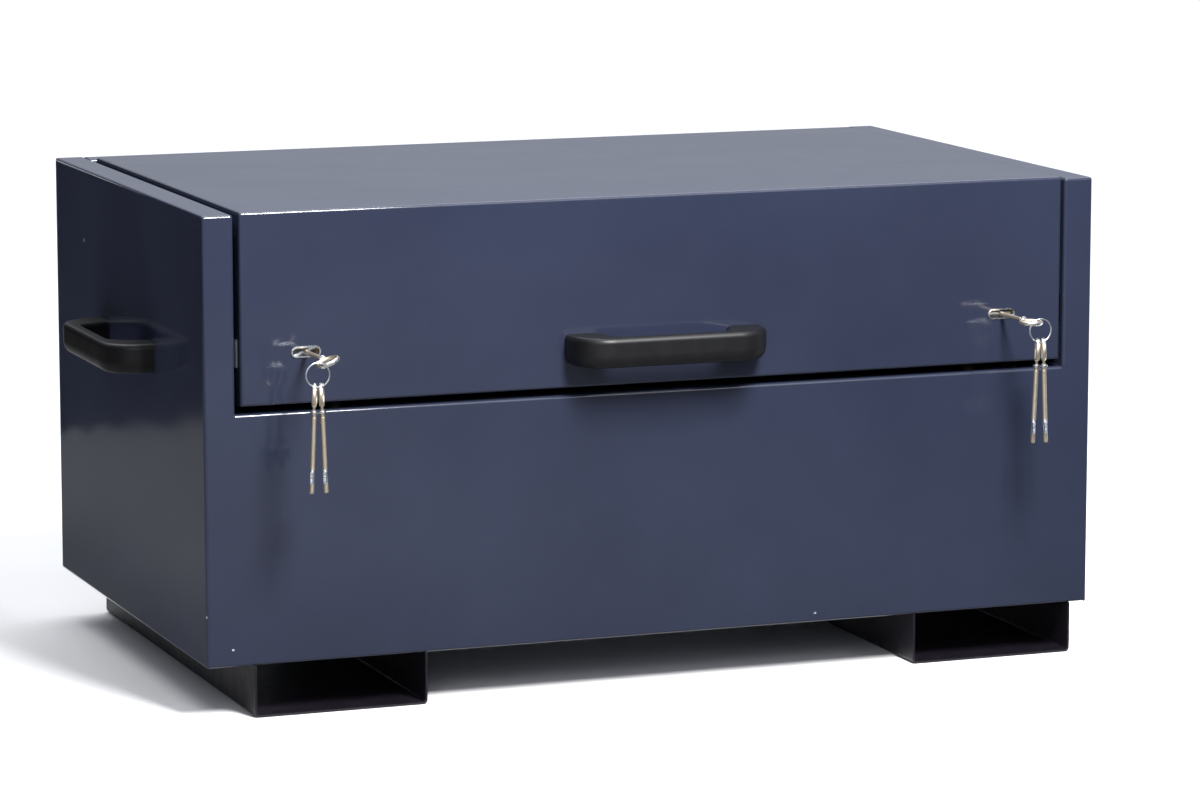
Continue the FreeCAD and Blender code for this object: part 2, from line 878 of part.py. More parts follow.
def ring_centre(side, turn):
    drop = ring_radius - ring_wire - rim_half_height - stop_clearance
    return ring_pivot(side, turn).sub(vector(0, 0, drop))


def key_ring(side, turn):
    wire = ring_wire
    ring = faceted_ring(0, ring_radius, [(-wire, 0), (0, -wire), (wire, 0), (0, wire)], ring_sides)
    ring = turned(ring, vector(0, 0, 0), vector(1, 0, 0), 90)
    ring.translate(ring_centre(side, turn))
    return ring


def spare_key(side, turn, place):
    """Spare key hanging edge-on from the foot of the ring; place is -1 or 1 along X."""
    offset = place * spare_spacing / 2
    drop = math.sqrt(ring_radius ** 2 - offset ** 2)
    wire = ring_centre(side, turn).add(vector(offset, 0, -drop))
    hole = bow_radius - rim_half_width - ring_wire - spare_key_clearance
    key = moved(flat_key(), 0, -bow_radius - rim_half_width, 0)
    key = turned(key, vector(0, 0, 0), vector(1, 0, 0), -90)
    key = turned(key, vector(0, 0, 0), vector(0, 0, 1), spare_turn)
    key = moved(key, 0, 0, -hole)
    key = turned(key, vector(0, 0, 0), vector(0, 1, 0), -place * spare_fan)
    return moved(key, wire.x, wire.y, wire.z)


def strut_foot():
    return vector(-strut_offset, hinge_y - foot_forward, hinge_z - foot_drop)


def strut_head():
    return vector(-strut_offset, hinge_y - head_forward, hinge_z - head_drop)


def strut_direction():
    return strut_head().sub(strut_foot()).normalize()


def open_strut_length():
    """Distance between the two strut pivots with the lid fully open."""
    angle = math.radians(lid_opening)
    y = -head_forward * math.cos(angle) - head_drop * math.sin(angle)
    z = head_forward * math.sin(angle) - head_drop * math.cos(angle)
    return math.hypot(y + foot_forward, z + foot_drop)


def strut_point(distance):
    """Point on the strut's centre line, counted from its foot."""
    return strut_foot().add(scaled(strut_direction(), distance))


def strut_foot_bracket():
    """Stand-off bracket on the left wall, with the pin that the strut swings on."""
    foot = strut_foot()
    wall = -half_width + body_sheet
    plate_x = foot.x - eye_width / 2 - foot_ear_gap
    half = foot_plate_width / 2
    low = foot.z - foot_shelf_drop
    base = block(
        wall, wall + bracket_sheet, foot.y - half, foot.y + half,
        low + bracket_sheet - foot_plate_height / 2, low + foot_plate_height / 2,
    )
    shelf = block(wall, plate_x, foot.y - half, foot.y + half, low, low + bracket_sheet)
    ear = block(
        plate_x - bracket_sheet, plate_x, foot.y - half, foot.y + half, low, foot.z + foot_ear_top,
    )
    pin = rod_between(
        strut_pin_radius,
        vector(plate_x - bracket_sheet, foot.y, foot.z),
        vector(foot.x + eye_width / 2 + strut_pin_tip, foot.y, foot.z),
    )
    return joined(base, shelf, ear, pin)


def strut_head_bracket():
    """Bracket under the lid whose short stud meets the side of the rod's end fitting."""
    head = strut_head()
    plate_x = head.x - eye_width / 2 - head_ear_gap
    half = head_plate_width / 2
    base = block(
        plate_x - bracket_sheet, head.x + head_plate_reach,
        head.y - half, head.y + half, lid_skin_z - bracket_sheet, lid_skin_z,
    )
    ear = block(
        plate_x - bracket_sheet, plate_x,
        head.y - half, head.y + half, head.z - head_ear_drop, lid_skin_z,
    )
    stud = polygon_rod(
        strut_pin_radius,
        vector(plate_x - bracket_sheet, head.y, head.z),
        vector(head.x - eye_width / 2 - pivot_clearance, head.y, head.z),
    )
    return joined(base, ear, stud)


def strut_eye(centre, towards):
    """Flat-sided end fitting round a pivot, with its neck towards the given point."""
    half = vector(eye_width / 2, 0, 0)
    eye = polygon_rod(eye_radius, centre.sub(half), centre.add(half))
    return joined(eye, polygon_rod(eye_neck, centre, towards))


def strut_cylinder():
    """Pressure tube with an eye at its foot and the rod's bore along it."""
    foot = strut_foot()
    body = rod_between(cylinder_radius, strut_point(cylinder_start), strut_point(cylinder_mouth))
    bore = rod_between(
        rod_radius + running_clearance, strut_point(cylinder_floor), strut_point(cylinder_mouth + overrun),
    )
    reach = vector(eye_width, 0, 0)
    hole = rod_between(strut_pin_radius + running_clearance, foot.sub(reach), foot.add(reach))
    return joined(body, strut_eye(foot, strut_point(cylinder_start + overrun))).cut([bore, hole])


def strut_rod():
    """Polished rod with the fitting that meets the lid bracket."""
    head = strut_head()
    closed_length = head.sub(strut_foot()).Length
    stroke = open_strut_length() - closed_length
    start = strut_point(cylinder_mouth - stroke - rod_hold)
    neck = strut_point(closed_length - 2 * eye_radius)
    return joined(rod_between(rod_radius, start, head), strut_eye(head, neck))


def build_body():
    for side, shape in sides(side_panel()).items():
        save(side + "_side_panel", shape)
    for side, shape in sides(gutter()).items():
        save(side + "_gutter", shape)
    for side, shape in sides(strike_plate()).items():
        save(side + "_strike_plate", shape)
    for side, shape in sides(strut_foot_bracket()).items():
        save(side + "_strut_foot_bracket", shape)
    save("front_panel", front_panel())
    save("back_panel", back_panel())
    save("floor_panel", floor_panel())
    save("left_skid", skid(-half_width + left_skid_inset))
    save("right_skid", skid(half_width - right_skid_inset - skid_width))
    save("lid_buffers", *lid_buffers())


def build_handles():
    handle = bow_handle()
    plate = handle_plate()
    lid_z = base_z + lid_handle_height
    save("lid_handle", moved(handle, 0, lid_front_y, lid_z))
    save("lid_handle_plate", moved(plate, 0, lid_skin_y, lid_z))
    save("lid_handle_screws", *[moved(s, 0, lid_front_y, lid_z) for s in handle_screws(lid_sheet)])
    for side, shape in sides(on_left_side(handle)).items():
        save(side + "_side_handle", shape)
    for side, shape in sides(on_left_side(moved(plate, 0, body_sheet, 0))).items():
        save(side + "_handle_plate", shape)
    screws = [on_left_side(s) for s in handle_screws(body_sheet)]
    save("side_handle_screws", *screws, *[flipped(s) for s in screws])


def build_lid():
    save("lid_panel", lid_panel())
    save("front_lid_stiffener", lid_stiffener(front_y + front_stiffener_setback))
    save("rear_lid_stiffener", lid_stiffener(front_y + rear_stiffener_setback))
    for side, shape in sides(strut_head_bracket()).items():
        save(side + "_strut_head_bracket", shape)
    places = {"left": -hinge_offset, "middle": 0, "right": hinge_offset}
    for name, x in places.items():
        save(name + "_hinge_body_leaf", hinge_body_leaf(x))
        save(name + "_hinge_lid_leaf", hinge_lid_leaf(x))
        save(name + "_hinge_pin", hinge_pin(x))


def build_locks():
    for side, shape in sides(lock_case()).items():
        save(side + "_lock_case", shape)
    for side, shape in sides(lock_cap()).items():
        save(side + "_lock_cap", shape)
    for side, shape in sides(escutcheon()).items():
        save(side + "_escutcheon", shape)
    levers = lock_levers()
    save("left_lock_levers", *levers)
    save("right_lock_levers", *[flipped(s) for s in levers])
    fixings = lock_fixings()
    save("lock_fixings", *fixings, *[flipped(s) for s in fixings])
    save("left_bolt", dead_bolt(left_key_turn))
    save("right_bolt", flipped(dead_bolt(right_key_turn)))


def build_keys():
    for name, side, turn in (("left", -1, left_key_turn), ("right", 1, right_key_turn)):
        save(name + "_key", inserted_key(side, turn))
        save(name + "_key_ring", key_ring(side, turn))
        save(name + "_spare_key_a", spare_key(side, turn, -1))
        save(name + "_spare_key_b", spare_key(side, turn, 1))


def build_struts():
    for side, shape in sides(strut_cylinder()).items():
        save(side + "_strut_cylinder", shape)
    for side, shape in sides(strut_rod()).items():
        save(side + "_strut_rod", shape)


def main():
    os.makedirs("parts", exist_ok=True)
    build_body()
    build_handles()
    build_lid()
    build_locks()
    build_keys()
    build_struts()


main()
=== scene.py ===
import bpy
import bmesh
import json
import math
from mathutils import Matrix, Vector


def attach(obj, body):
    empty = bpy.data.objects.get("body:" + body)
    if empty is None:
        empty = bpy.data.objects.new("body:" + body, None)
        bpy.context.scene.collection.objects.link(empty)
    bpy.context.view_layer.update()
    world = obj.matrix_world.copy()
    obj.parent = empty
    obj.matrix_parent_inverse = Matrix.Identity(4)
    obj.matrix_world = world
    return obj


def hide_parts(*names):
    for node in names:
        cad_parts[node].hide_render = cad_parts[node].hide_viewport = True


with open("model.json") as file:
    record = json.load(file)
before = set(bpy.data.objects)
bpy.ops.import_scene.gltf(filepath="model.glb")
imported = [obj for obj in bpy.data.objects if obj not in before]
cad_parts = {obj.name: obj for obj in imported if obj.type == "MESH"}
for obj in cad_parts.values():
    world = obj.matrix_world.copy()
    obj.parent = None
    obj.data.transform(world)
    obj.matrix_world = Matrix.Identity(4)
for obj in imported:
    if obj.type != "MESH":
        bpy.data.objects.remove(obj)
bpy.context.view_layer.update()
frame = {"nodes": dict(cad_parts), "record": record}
scene = bpy.context.scene
scene.view_settings.view_transform = "Standard"


# ways of working that every piece shares

def workOn(piece):
    bpy.ops.object.select_all(action="DESELECT")
    piece.select_set(True)
    bpy.context.view_layer.objects.active = piece


def newPiece(name):
    piece = bpy.context.active_object
    piece.name = name
    bpy.ops.object.transform_apply(location=True, rotation=True, scale=True)
    return piece


def startEditing(piece):
    workOn(piece)
    bpy.ops.object.mode_set(mode="EDIT")


def stopEditing():
    bpy.ops.object.mode_set(mode="OBJECT")


def pick(piece, kind, wanted):
    # kind is verts, edges or faces; wanted is asked about each of them in turn
    bpy.ops.mesh.select_all(action="DESELECT")
    bpy.ops.mesh.select_mode(type={"verts": "VERT", "edges": "EDGE", "faces": "FACE"}[kind])
    mesh = bmesh.from_edit_mesh(piece.data)
    for part in getattr(mesh, kind):
        if wanted(part):
            part.select_set(True)
    bmesh.update_edit_mesh(piece.data)


ends = (("left", -1), ("right", 1))  # each end of the box with its side of X
squarely = 0.9  # a face looks along an axis when this much of its normal does


def near(a, b, slack=0.00002):  # metres
    return abs(a - b) < slack


def onPlane(edge, axis, place):
    return all(near(v.co[axis], place) for v in edge.verts)


def applied(piece, kind, **settings):
    workOn(piece)
    modifier = piece.modifiers.new(kind.lower(), kind)
    for setting, value in settings.items():
        setattr(modifier, setting, value)
    bpy.ops.object.modifier_apply(modifier=modifier.name)


def smoothed(piece, degrees):
    workOn(piece)
    bpy.ops.object.shade_smooth_by_angle(angle=math.radians(degrees))
    applied(piece, "WEIGHTED_NORMAL", keep_sharp=True, weight=60)


def copyOf(piece, name, placing):
    twin = bpy.data.objects.new(name, piece.data.copy())
    scene.collection.objects.link(twin)
    workOn(twin)
    twin.matrix_world = placing
    bpy.ops.object.transform_apply(location=True, rotation=True, scale=True)
    return twin


def joinedPieces(name, *pieces):
    bpy.ops.object.select_all(action="DESELECT")
    for piece in pieces:
        piece.select_set(True)
    bpy.context.view_layer.objects.active = pieces[0]
    bpy.ops.object.join()
    pieces[0].name = name
    return pieces[0]


def fitted(piece, slotName, bodyName, *standsFor):
    # each material slot of the CAD has a finish of its own
    piece.data.materials.clear()
    piece.data.materials.append(finishes[slotName])
    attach(piece, bodyName)
    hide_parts(*standsFor)


# finishes

def blankFinish(name, **sockets):
    finish = bpy.data.materials.new(name)
    finish.use_nodes = True
    shader = finish.node_tree.nodes["Principled BSDF"]
    for socket, value in sockets.items():
        shader.inputs[socket.replace("_", " ")].default_value = value
    return finish, finish.node_tree, shader


def placeOn(tree, stretch=(1, 1, 1), offset=(0, 0, 0)):
    coordinates = tree.nodes.new("ShaderNodeTexCoord")
    mapping = tree.nodes.new("ShaderNodeMapping")
    mapping.inputs["Scale"].default_value = stretch
    mapping.inputs["Location"].default_value = offset
    tree.links.new(coordinates.outputs["Object"], mapping.inputs["Vector"])
    return mapping.outputs["Vector"]


def grain(tree, size, detail=3.0, rough=0.5, stretch=(1, 1, 1), warp=0.0):
    # size is the width of one blotch in metres
    noise = tree.nodes.new("ShaderNodeTexNoise")
    noise.inputs["Scale"].default_value = 1 / size
    noise.inputs["Detail"].default_value = detail
    noise.inputs["Roughness"].default_value = rough
    noise.inputs["Distortion"].default_value = warp
    tree.links.new(placeOn(tree, stretch), noise.inputs["Vector"])
    return noise.outputs["Fac"]


def ramp(tree, source, *stops):
    node = tree.nodes.new("ShaderNodeValToRGB")
    elements = node.color_ramp.elements
    while len(elements) < len(stops):
        elements.new(0.5)
    for element, (place, colour) in zip(elements, stops):
        element.position = place
        element.color = (*colour, 1) if hasattr(colour, "__len__") else (colour,) * 3 + (1,)
    tree.links.new(source, node.inputs["Fac"])
    return node.outputs["Color"]


noiseRun = (0.3, 0.7)  # nearly all of a noise lies between these


def clouded(tree, source, dark, light):
    return ramp(tree, source, (noiseRun[0], dark), (noiseRun[1], light))


def faded(tree, source, start, end, strength=1.0):
    # nothing up to the start, and the full strength from the end on
    return ramp(tree, source, (start, 0.0), (end, strength))


def blended(tree, share, first, second):
    node = tree.nodes.new("ShaderNodeMix")
    node.data_type = "RGBA"
    sockets = (node.inputs["Factor"], node.inputs[6], node.inputs[7])
    for socket, value in zip(sockets, (share, first, second)):
        if isinstance(value, bpy.types.NodeSocket):
            tree.links.new(value, socket)
        else:
            socket.default_value = (*value, 1) if hasattr(value, "__len__") else value
    return node.outputs[2]


def spread(tree, source, low, high, fromLow=noiseRun[0], fromHigh=noiseRun[1]):
    node = tree.nodes.new("ShaderNodeMapRange")
    node.inputs["From Min"].default_value = fromLow
    node.inputs["From Max"].default_value = fromHigh
    node.inputs["To Min"].default_value = low
    node.inputs["To Max"].default_value = high
    tree.links.new(source, node.inputs["Value"])
    return node.outputs["Result"]


def raised(tree, shader, height, depth, below=None):
    node = tree.nodes.new("ShaderNodeBump")
    node.inputs["Distance"].default_value = depth
    tree.links.new(height, node.inputs["Height"])
    if below is not None:
        tree.links.new(below, node.inputs["Normal"])
    tree.links.new(node.outputs["Normal"], shader.inputs["Normal"])
    return node.outputs["Normal"]


def product(tree, first, second):
    node = tree.nodes.new("ShaderNodeMath")
    node.operation = "MULTIPLY"
    tree.links.new(first, node.inputs[0])
    tree.links.new(second, node.inputs[1])
    return node.outputs[0]


def within(tree, centre, reach):
    # 1 at the centre, fading to 0 at the reach on each axis
    node = tree.nodes.new("ShaderNodeTexGradient")
    node.gradient_type = "QUADRATIC_SPHERE"
    stretch = tuple(1 / r for r in reach)
    offset = tuple(-c / r for c, r in zip(centre, reach))
    tree.links.new(placeOn(tree, stretch, offset), node.inputs["Vector"])
    return node.outputs["Fac"]


bodyPaintLook = {
    "dark": (0.0180, 0.0222, 0.0418), "light": (0.0228, 0.0282, 0.0516),
    "bareAndReflection": (0.42, 0.44, 0.48), "dusty": (0.075, 0.085, 0.105), "roughness": (0.085, 0.135),
    "cloudSize": 0.30, "polishSize": 0.06, "dustSize": 0.0035, "streakSize": 0.0045,
    "chipEdgeSize": 0.0030, "peelSize": 0.0035, "peelDepth": 0.000006,
    "waveSize": 0.20, "waveDepth": 0.0011,
    # where each mark starts to show, where it is full, and its strength where that is below 1
    "dustStops": (0.74, 0.88, 0.10), "streakStops": (0.40, 0.62), "keyReflectionStops": (0.02, 0.45),
    "chipStops": (0.10, 0.22), "chipEdgeStops": (0.40, 0.46),
    # pale streaks painted beside each keyhole as the inserted key's reflection in the gloss:
    # middle, half sizes, strength
    "keyReflectionStreaks": [((-0.497, -0.300, 0.4655), (0.019, 0.010, 0.0040), 0.45),
               ((-0.509, -0.300, 0.4380), (0.017, 0.010, 0.0022), 0.13),
               ((0.435, -0.300, 0.4685), (0.023, 0.010, 0.0018), 0.25),
               ((0.428, -0.300, 0.4460), (0.012, 0.010, 0.0022), 0.16)],
    # knocked down to the metal
    "chips": [((-0.600, 0.258, 0.532), (0.004, 0.0030, 0.0045)),
              ((-0.600, -0.296, 0.131), (0.003, 0.0025, 0.0035)),
              ((-0.566, -0.297, 0.088), (0.0028, 0.003, 0.0022)),
              ((0.212, -0.297, 0.078), (0.0030, 0.003, 0.0020)),
              ((0.600, 0.120, 0.246), (0.004, 0.0030, 0.0030))],
}


def bodyPaintFinish():
    look = bodyPaintLook
    finish, tree, shader = blankFinish("bodyPaint", Specular_IOR_Level=0.5)
    paint = clouded(tree, grain(tree, look["cloudSize"], 4, 0.6), look["dark"], look["light"])
    dust = faded(tree, grain(tree, look["dustSize"], 2, 0.7), *look["dustStops"])
    paint = blended(tree, dust, paint, look["dusty"])
    streaks = grain(tree, look["streakSize"], 3, 0.7, stretch=(1, 1, 3.5), warp=0.5)
    streaks = faded(tree, streaks, *look["streakStops"])
    # painted reflection: pale streaks beside each keyhole stand for the inserted key seen in the
    # gloss
    for middle, reach, strength in look["keyReflectionStreaks"]:
        paleMark = faded(tree, within(tree, middle, reach), *look["keyReflectionStops"], strength)
        paint = blended(tree, product(tree, streaks, paleMark), paint, look["bareAndReflection"])
    for middle, reach in look["chips"]:
        chip = faded(tree, within(tree, middle, reach), *look["chipStops"])
        ragged = grain(tree, look["chipEdgeSize"], 2, 0.6)
        ragged = faded(tree, ragged, *look["chipEdgeStops"])
        paint = blended(tree, product(tree, chip, ragged), paint, look["bareAndReflection"])
    tree.links.new(paint, shader.inputs["Base Color"])
    polish = spread(tree, grain(tree, look["polishSize"], 3, 0.6), *look["roughness"])
    tree.links.new(polish, shader.inputs["Roughness"])
    waves = grain(tree, look["waveSize"], 1, 0.4, stretch=(1, 1, 2))
    waves = raised(tree, shader, waves, look["waveDepth"])
    raised(tree, shader, grain(tree, look["peelSize"], 1, 0.5), look["peelDepth"], waves)
    return finish


skidPaintLook = {
    "dark": (0.0022, 0.0012, 0.0036), "light": (0.0060, 0.0038, 0.0088),
    # rubbed pale near the ground
    "scrape": (0.10, 0.085, 0.105), "scrapeSize": 0.010, "scrapeReach": (3, 3, 0.022),
    "scrapeStops": (0.62, 0.78, 0.5),
    "cloudSize": 0.06, "roughness": (0.44, 0.54), "polishSize": 0.02,
    "bumpSize": 0.0016, "bumpDepth": 0.00002,
}


def skidPaintFinish():
    look = skidPaintLook
    finish, tree, shader = blankFinish("skidPaint", Specular_IOR_Level=0.38)
    paint = clouded(tree, grain(tree, look["cloudSize"], 4, 0.6), look["dark"], look["light"])
    paleMark = grain(tree, look["scrapeSize"], 4, 0.7, stretch=(1, 0.35, 3))
    paleMark = faded(tree, paleMark, *look["scrapeStops"])
    low = within(tree, (0, 0, 0), look["scrapeReach"])
    paint = blended(tree, product(tree, paleMark, low), paint, look["scrape"])
    tree.links.new(paint, shader.inputs["Base Color"])
    polish = spread(tree, grain(tree, look["polishSize"], 3), *look["roughness"])
    tree.links.new(polish, shader.inputs["Roughness"])
    raised(tree, shader, grain(tree, look["bumpSize"], 2, 0.6), look["bumpDepth"])
    return finish


# one colour with a little cloud in it; each grain is a size, a detail and a roughness
plainLooks = {
    "mouldedPlastic": {
        "gloss": 0.42, "dark": (0.0020, 0.0020, 0.0026), "light": (0.0038, 0.0038, 0.0048),
        "cloudSize": 0.03, "roughness": (0.40, 0.48), "roughGrain": (0.012, 3, 0.6),
        "bumpGrain": (0.0008, 2, 0.55), "bumpDepth": 0.00003},
    "stopRubber": {
        "gloss": 0.05, "dark": (0.0012, 0.0012, 0.0012), "light": (0.0030, 0.0030, 0.0030),
        "cloudSize": 0.004, "roughness": (0.7, 0.85), "roughGrain": (0.003, 3, 0.5),
        "bumpGrain": (0.0009, 2, 0.5), "bumpDepth": 0.0001},
    "strutPaint": {
        "gloss": 0.5, "dark": (0.008, 0.008, 0.008), "light": (0.014, 0.014, 0.014),
        "cloudSize": 0.02, "roughness": (0.18, 0.28), "roughGrain": (0.01, 3, 0.5),
        "bumpGrain": (0.0015, 1, 0.5), "bumpDepth": 0.00002},
}


def plainFinish(name):
    look = plainLooks[name]
    finish, tree, shader = blankFinish(name, Specular_IOR_Level=look["gloss"])
    colour = clouded(tree, grain(tree, look["cloudSize"], 3), look["dark"], look["light"])
    tree.links.new(colour, shader.inputs["Base Color"])
    polish = spread(tree, grain(tree, *look["roughGrain"]), *look["roughness"])
    tree.links.new(polish, shader.inputs["Roughness"])
    raised(tree, shader, grain(tree, *look["bumpGrain"]), look["bumpDepth"])
    return finish


metalCloudSize, metalScratchDepth = 0.015, 0.00001
# dull and bright tone, roughness, how the scratches run, and their size
metalLooks = {
    "groundSteel": ((0.62, 0.63, 0.65), (0.84, 0.85, 0.87), (0.32, 0.48), (1, 8, 8), 0.0012),
    "zincPlate": ((0.60, 0.61, 0.63), (0.84, 0.85, 0.87), (0.26, 0.40), (1, 1, 1), 0.006),
    "polishedChrome": ((0.84, 0.86, 0.90), (0.93, 0.95, 0.98), (0.20, 0.32), (1, 1, 1), 0.004),
    "stampedBrass": ((0.52, 0.36, 0.13), (0.80, 0.60, 0.27), (0.26, 0.42), (1, 6, 6), 0.0012),
}


def brushedFinish(name):
    dull, bright, roughness, stretch, scratchSize = metalLooks[name]
    finish, tree, shader = blankFinish(name, Metallic=1.0)
    streaks = grain(tree, scratchSize, 3, 0.6, stretch=stretch)
    clouds = grain(tree, metalCloudSize, 3, 0.6)
    metal = blended(tree, clouds, clouded(tree, streaks, dull, bright), dull)
    tree.links.new(metal, shader.inputs["Base Color"])
    tree.links.new(spread(tree, streaks, *roughness), shader.inputs["Roughness"])
    raised(tree, shader, streaks, metalScratchDepth)
    return finish


# key metal: where a zone starts in metres along the key, its colour and its roughness
keyMetalZones = [
    (0.0000, (0.96, 0.95, 0.92), 0.22),  # painted highlight on the bow's rim where the ring hangs
    (0.0065, (0.74, 0.66, 0.53), 0.42),  # bow, painted lighter than the shank for the light it catches from above
    (0.0325, (0.66, 0.58, 0.45), 0.46),  # shank
    (0.0345, (0.94, 0.94, 0.95), 0.16),  # collar
    (0.0385, (0.66, 0.58, 0.45), 0.46),
    (0.1065, (0.84, 0.87, 0.93), 0.30),  # fresh-cut bits
    (0.1235, (0.66, 0.58, 0.45), 0.46),
]
keyMetalLook = {
    "length": 0.14, "fade": 0.002,  # the length that the zones run over, the fade as a share of it
    "handled": (0.42, 0.37, 0.29), "handledSize": 0.004, "handledStops": (0.40, 0.75, 0.35),
    "satin": (0.9, 1.15), "satinSize": 0.003, "bumpSize": 0.0011, "bumpDepth": 0.00002,
}


def keyMetalFinish():
    # how far along the key a point lies is kept on the mesh as the attribute alongKey, in metres
    look = keyMetalLook
    finish, tree, shader = blankFinish("keyNickel", Metallic=1.0)
    along = tree.nodes.new("ShaderNodeAttribute")
    along.attribute_name = "alongKey"
    share = spread(tree, along.outputs["Fac"], 0, 1, 0.0, look["length"])
    colours, polishes = [(0.0, keyMetalZones[0][1])], [(0.0, keyMetalZones[0][2])]
    for (_, colour, rough), (start, nextColour, nextRough) in zip(keyMetalZones, keyMetalZones[1:]):
        before, after = start / look["length"] - look["fade"], start / look["length"] + look["fade"]
        colours += [(before, colour), (after, nextColour)]
        polishes += [(before, rough), (after, nextRough)]
    handled = faded(tree, grain(tree, look["handledSize"], 4, 0.65), *look["handledStops"])
    metal = blended(tree, handled, ramp(tree, share, *colours), look["handled"])
    tree.links.new(metal, shader.inputs["Base Color"])
    satin = spread(tree, grain(tree, look["satinSize"], 3, 0.6), *look["satin"])
    tree.links.new(product(tree, ramp(tree, share, *polishes), satin), shader.inputs["Roughness"])
    raised(tree, shader, grain(tree, look["bumpSize"], 2, 0.5), look["bumpDepth"])
    return finish


finishes = {
    "body_paint": bodyPaintFinish(),
    "skid_paint": skidPaintFinish(),
    "handle_plastic": plainFinish("mouldedPlastic"),
    "rubber_stop": plainFinish("stopRubber"),
    "strut_black": plainFinish("strutPaint"),
    "hardened_steel": brushedFinish("groundSteel"),
    "plated_steel": brushedFinish("zincPlate"),
    "chrome_rim": brushedFinish("polishedChrome"),
    "lever_brass": brushedFinish("stampedBrass"),
    "key_metal": keyMetalFinish(),
}
print("finishes mixed:", len(finishes))


# stage, lights and camera

studio = {
    "floorSize": 80.0, "floorTones": (0.88, 0.90), "floorCloud": 1.2, "aim": (0.0, -0.2, 0.38),
    # softboxes: azimuth from the front, elevation, distance, width, height, power
    "softboxes": [("keyLight", 4, 48, 3.0, 0.70, 1.05, 224.0),
                  ("fillLight", -30, 20, 3.6, 1.10, 1.10, 14.0)],
    # lights from far off keep the floor even: azimuth, elevation, width in degrees, strength
    "farLights": [("lowSideLight", 25, 29, 10, 0.16), ("highSideLight", 37, 55, 12, 0.16),
                  ("backLight", 165, 68, 60, 2.40)],
    "farDistance": 9.0,  # changes nothing for lights of this kind
    "sky": (0.82, 0.87, 1.0), "skyStrength": 0.48,
}


def facing(azimuth, elevation):
    turn, rise = math.radians(azimuth), math.radians(elevation)
    level = math.cos(rise)
    return Vector((math.sin(turn) * level, -math.cos(turn) * level, math.sin(rise)))


def addLamp(kind, name, place, towards, power):
    bpy.ops.object.light_add(type=kind, location=place)
    lamp = bpy.context.active_object
    lamp.name = name
    lamp.data.energy = power
    lamp.rotation_euler = towards.to_track_quat("Z", "Y").to_euler()
    return lamp


def setStudio():
    bpy.ops.mesh.primitive_plane_add(size=studio["floorSize"], location=(0, 0, 0))
    floor = newPiece("studioFloor")
    finish, tree, shader = blankFinish("paleFloor", Specular_IOR_Level=0.2, Roughness=0.7)
    white = clouded(tree, grain(tree, studio["floorCloud"], 2), *studio["floorTones"])
    tree.links.new(white, shader.inputs["Base Color"])
    floor.data.materials.append(finish)
    for name, azimuth, elevation, distance, wide, high, power in studio["softboxes"]:
        towards = facing(azimuth, elevation)
        place = Vector(studio["aim"]) + towards * distance
        lamp = addLamp("AREA", name, place, towards, power)
        lamp.data.shape = "RECTANGLE"
        lamp.data.size, lamp.data.size_y = wide, high
        lamp.visible_camera = False
    for name, azimuth, elevation, width, strength in studio["farLights"]:
        towards = facing(azimuth, elevation)
        lamp = addLamp("SUN", name, towards * studio["farDistance"], towards, strength)
        lamp.data.angle = math.radians(width)
    world = bpy.data.worlds.new("studioAir")
    scene.world = world
    world.use_nodes = True
    air = world.node_tree.nodes["Background"]
    air.inputs["Color"].default_value = (*studio["sky"], 1)
    air.inputs["Strength"].default_value = studio["skyStrength"]


# dark flags behind and beside the left end and grey mats round the box, seen in its gloss
# and not by the camera: two corners, tone at the left and at the right
flags = {
    "backFlag": ((-4.60, 1.88, 0.0), (-0.72, 1.92, 1.6), (0.010, 0.010)),
    "sideFlag": ((-2.602, -1.60, 0.0), (-2.600, 2.40, 1.8), (0.010, 0.010)),
    "leftMat": ((-3.60, -0.46, 0.001), (-0.66, 1.88, 0.004), (0.13, 0.13)),
    "nearMat": ((-6.00, -2.70, 0.001), (12.00, -0.31, 0.004), (0.13, 0.012)),
    "farMat": ((-6.00, -12.0, 0.001), (12.00, -2.70, 0.004), (0.22, 0.025)),
}
flagWeave = {"size": 0.4, "tones": (0.9, 1.0)}
toneRun = (-0.1, 1.5)  # from the left tone to the right one, in metres across
softStops = ("sideFlag", "nearMat")  # these take some soft light off the box as well


def setFlags():
    for name, (low, high, tones) in flags.items():
        size = [b - a for a, b in zip(low, high)]
        middle = [(a + b) / 2 for a, b in zip(low, high)]
        bpy.ops.mesh.primitive_cube_add(size=1, location=middle, scale=size)
        card = newPiece(name)
        finish, tree, shader = blankFinish(name + "Cloth", Roughness=0.95, Specular_IOR_Level=0.0)
        across = tree.nodes.new("ShaderNodeSeparateXYZ")
        tree.links.new(placeOn(tree), across.inputs["Vector"])
        tone = spread(tree, across.outputs["X"], *tones, *toneRun)
        weave = clouded(tree, grain(tree, flagWeave["size"], 2), *flagWeave["tones"])
        tree.links.new(product(tree, tone, weave), shader.inputs["Base Color"])
        card.data.materials.append(finish)
        card.visible_camera = False
        card.visible_shadow = False
        card.visible_diffuse = name in softStops


cameraPlace = {
    "azimuth": -20.848, "elevation": 8.970, "distance": 6.4916,
    "aim": (0.0496, 0.053, 0.3224), "lens": 146.13, "sensor": 36.0, "clipEnd": 200.0,
}


def setCamera():
    back = facing(cameraPlace["azimuth"], cameraPlace["elevation"])
    aim = Vector(cameraPlace["aim"])
    bpy.ops.object.camera_add(location=aim + back * cameraPlace["distance"])
    camera = bpy.context.active_object
    camera.name = "photoCamera"
    camera.rotation_euler = back.to_track_quat("Z", "Y").to_euler()
    camera.data.sensor_width = cameraPlace["sensor"]
    camera.data.lens = cameraPlace["lens"]
    camera.data.clip_end = cameraPlace["clipEnd"]
    scene.camera = camera


setStudio()
setFlags()
setCamera()
print("studio set")


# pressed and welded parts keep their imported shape, with their outer edges eased

# points closer than the weld become one; flat, sharp and smooth are angles in degrees
easing = {"weld": 0.00001, "flat": 0.5, "sharp": 50, "smooth": 32, "segments": 2}


